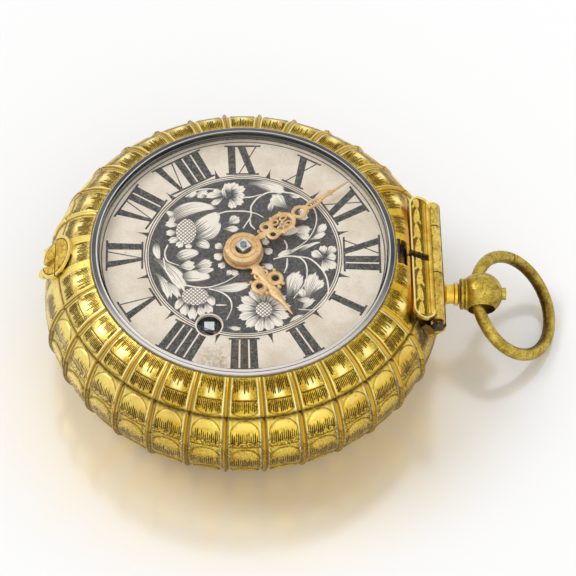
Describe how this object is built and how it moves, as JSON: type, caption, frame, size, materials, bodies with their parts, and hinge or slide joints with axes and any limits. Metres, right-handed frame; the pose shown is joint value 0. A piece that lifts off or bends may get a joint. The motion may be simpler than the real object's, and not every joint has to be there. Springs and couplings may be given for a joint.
{
  "type": "verge pocket watch",
  "caption": "Verge pocket watch: ribbed gilt case, hinged glazed bezel with a turn catch, swivel pendant and bow, silver dial, pierced hands and a fusee and chain movement that swings out.",
  "frame": {"origin": "centre of the case back's flat resting face", "axes": "+X towards the pendant at XII, +Y towards IX, +Z out of the dial"},
  "size_m": [0.0753, 0.058, 0.0245],
  "materials": {
    "gilt": "bright gilding, worn in the recesses",
    "old_gilt": "dull greenish old gilding",
    "gilt_brass": "matted gilding",
    "steel": "polished",
    "blued_steel": "blued",
    "silver": "matt silver, engraved",
    "rose_gilt": "satin rose gilding",
    "glass": "clear, domed"
  },
  "bodies": {
    "case": {"case_back": "gilt", "case_hinge": "gilt", "case_hinge_pin": "steel", "lift_block": "steel", "lift_pin": "steel", "clasp_stud": "gilt", "pendant_neck": "old_gilt"},
    "lid": {"bezel": "gilt", "glass": "glass", "glass_ring": "silver", "hinge_plate": "gilt", "clasp_plate": "gilt"},
    "clasp": {"clasp_hook": "gilt"},
    "ball": {"pendant_ball": "old_gilt"},
    "bow": {"bow_ring": "old_gilt"},
    "movement": {"dial": "silver", "dial_feet": "rose_gilt", "dial_edge": "gilt_brass", "pillar_plate": "gilt_brass", "pillars": "gilt_brass", "pillar_pins": "steel", "top_plate": "gilt_brass", "barrel_arbor": "steel", "mainspring": "blued_steel", "setup_ratchet": "steel", "setup_click": "steel", "chain": "steel", "stop_spring": "steel", "potence": "gilt_brass", "counter_potence": "gilt_brass", "balance_spring": "blued_steel", "spring_stud": "steel", "balance_cock": "gilt_brass", "cock_screw": "blued_steel", "motion_posts": "steel"},
    "bolt": {"movement_bolt": "steel"},
    "barrel_body": {"barrel": "gilt_brass", "barrel_cover": "gilt_brass"},
    "great": {"great_wheel": "gilt_brass"},
    "fusee": {"fusee_cone": "gilt_brass", "fusee_arbor": "steel"},
    "stop": {"stop_arm": "steel"},
    "second": {"second_wheel": "gilt_brass", "second_arbor": "steel"},
    "third": {"third_wheel": "gilt_brass", "third_arbor": "steel"},
    "contrate": {"contrate_wheel": "gilt_brass", "contrate_arbor": "steel"},
    "crown": {"crown_wheel": "gilt_brass", "crown_arbor": "steel"},
    "balance": {"verge_staff": "steel", "balance_wheel": "gilt_brass"},
    "regulator": {"regulator_disc": "silver"},
    "rack": {"regulator_rack": "steel"},
    "cannon": {"cannon_pinion": "steel", "minute_hand": "rose_gilt"},
    "drive": {"drive_wheel": "gilt_brass"},
    "minute": {"minute_wheel": "gilt_brass"},
    "hour": {"hour_wheel": "gilt_brass", "hour_hand": "rose_gilt"}
  },
  "joints": [
    {"name": "bezel_hinge", "type": "hinge", "parent": "case", "child": "lid", "pos_m": [0.0273, 0, 0.0179], "axis": [0, 1, 0], "range_deg": [0, 95]},
    {"name": "movement_lift", "type": "hinge", "parent": "case", "child": "movement", "pos_m": [0.0224, 0, 0.0186], "axis": [0, 1, 0], "range_deg": [0, 50]},
    {"name": "hook_turn", "type": "hinge", "parent": "lid", "child": "clasp", "pos_m": [-0.02563, -0.00105, 0.01898], "axis": [-0.7431, 0, 0.6691], "range_deg": [0, 15]},
    {"name": "pendant_swivel", "type": "hinge", "parent": "case", "child": "ball", "pos_m": [0.0344, 0, 0.0103], "axis": [1, 0, 0], "continuous": true},
    {"name": "bow_swing", "type": "hinge", "parent": "ball", "child": "bow", "pos_m": [0.0344, 0, 0.0103], "axis": [0, -0.9829, -0.184], "range_deg": [-30, 100]},
    {"name": "bolt_slide", "type": "slide", "parent": "movement", "child": "bolt", "axis": [-1, 0, 0], "range_m": [0, 0.001]},
    {"name": "great_turn", "type": "hinge", "parent": "movement", "child": "great", "pos_m": [-0.00483, -0.01196, 0.0158], "axis": [0, 0, 1], "continuous": true},
    {"name": "fusee_wind", "type": "hinge", "parent": "great", "child": "fusee", "pos_m": [-0.00483, -0.01196, 0.012], "axis": [0, 0, 1], "range_deg": [-1080, 1260], "deforming": ["chain"]},
    {"name": "barrel_turn", "type": "hinge", "parent": "movement", "child": "barrel_body", "pos_m": [-0.01228, -0.00173, 0.012], "axis": [0, 0, 1], "range_deg": [-750, 880]},
    {"name": "stop_lift", "type": "hinge", "parent": "movement", "child": "stop", "pos_m": [0.00157, -0.00956, 0.0083], "axis": [0.1736, 0.9848, 0], "range_deg": [0, 6]},
    {"name": "second_turn", "type": "hinge", "parent": "movement", "child": "second", "pos_m": [-0.00211, -0.00523, 0.012], "axis": [0, 0, 1], "continuous": true},
    {"name": "third_turn", "type": "hinge", "parent": "movement", "child": "third", "pos_m": [0.00324, -0.00328, 0.012], "axis": [0, 0, 1], "continuous": true},
    {"name": "contrate_turn", "type": "hinge", "parent": "movement", "child": "contrate", "pos_m": [0.00722, -0.00098, 0.012], "axis": [0, 0, 1], "continuous": true},
    {"name": "crown_turn", "type": "hinge", "parent": "movement", "child": "crown", "pos_m": [-0.00058, 0.00199, 0.012], "axis": [0.9342, -0.3567, 0], "continuous": true},
    {"name": "balance_swing", "type": "hinge", "parent": "movement", "child": "balance", "pos_m": [-0.00058, 0.00199, 0.0055], "axis": [0, 0, 1], "range_deg": [-110, 110], "stiffness_Nm_per_rad": 0.0000024},
    {"name": "regulator_turn", "type": "hinge", "parent": "movement", "child": "regulator", "pos_m": [0.00233, 0.01286, 0.006], "axis": [0, 0, 1], "range_deg": [-65, 65]},
    {"name": "rack_slide", "type": "hinge", "parent": "movement", "child": "rack", "pos_m": [-0.00058, 0.00199, 0.0067], "axis": [0, 0, 1], "range_deg": [-12, 12]},
    {"name": "hand_setting", "type": "hinge", "parent": "movement", "child": "cannon", "pos_m": [0, 0, 0.019], "axis": [0, 0, 1], "continuous": true},
    {"name": "drive_turn", "type": "hinge", "parent": "movement", "child": "drive", "pos_m": [-0.00211, -0.00523, 0.0184], "axis": [0, 0, 1], "continuous": true},
    {"name": "minute_turn", "type": "hinge", "parent": "movement", "child": "minute", "pos_m": [0.00368, 0.00309, 0.019], "axis": [0, 0, 1], "continuous": true},
    {"name": "hour_turn", "type": "hinge", "parent": "movement", "child": "hour", "pos_m": [0, 0, 0.0193], "axis": [0, 0, 1], "continuous": true}
  ],
  "couplings": [
    {"joint": "movement_lift", "follows": "bezel_hinge", "ratio": 0.52},
    {"joint": "crown_turn", "follows": "contrate_turn", "ratio": 8},
    {"joint": "third_turn", "follows": "contrate_turn", "ratio": -0.125},
    {"joint": "second_turn", "follows": "contrate_turn", "ratio": 0.013889},
    {"joint": "great_turn", "follows": "contrate_turn", "ratio": -0.0030864},
    {"joint": "barrel_turn", "follows": "fusee_wind", "ratio": 0.69},
    {"joint": "rack_slide", "follows": "regulator_turn", "ratio": -0.18421},
    {"joint": "drive_turn", "follows": "hand_setting", "ratio": -1},
    {"joint": "minute_turn", "follows": "hand_setting", "ratio": -0.33333},
    {"joint": "hour_turn", "follows": "hand_setting", "ratio": 0.083333}
  ]
}
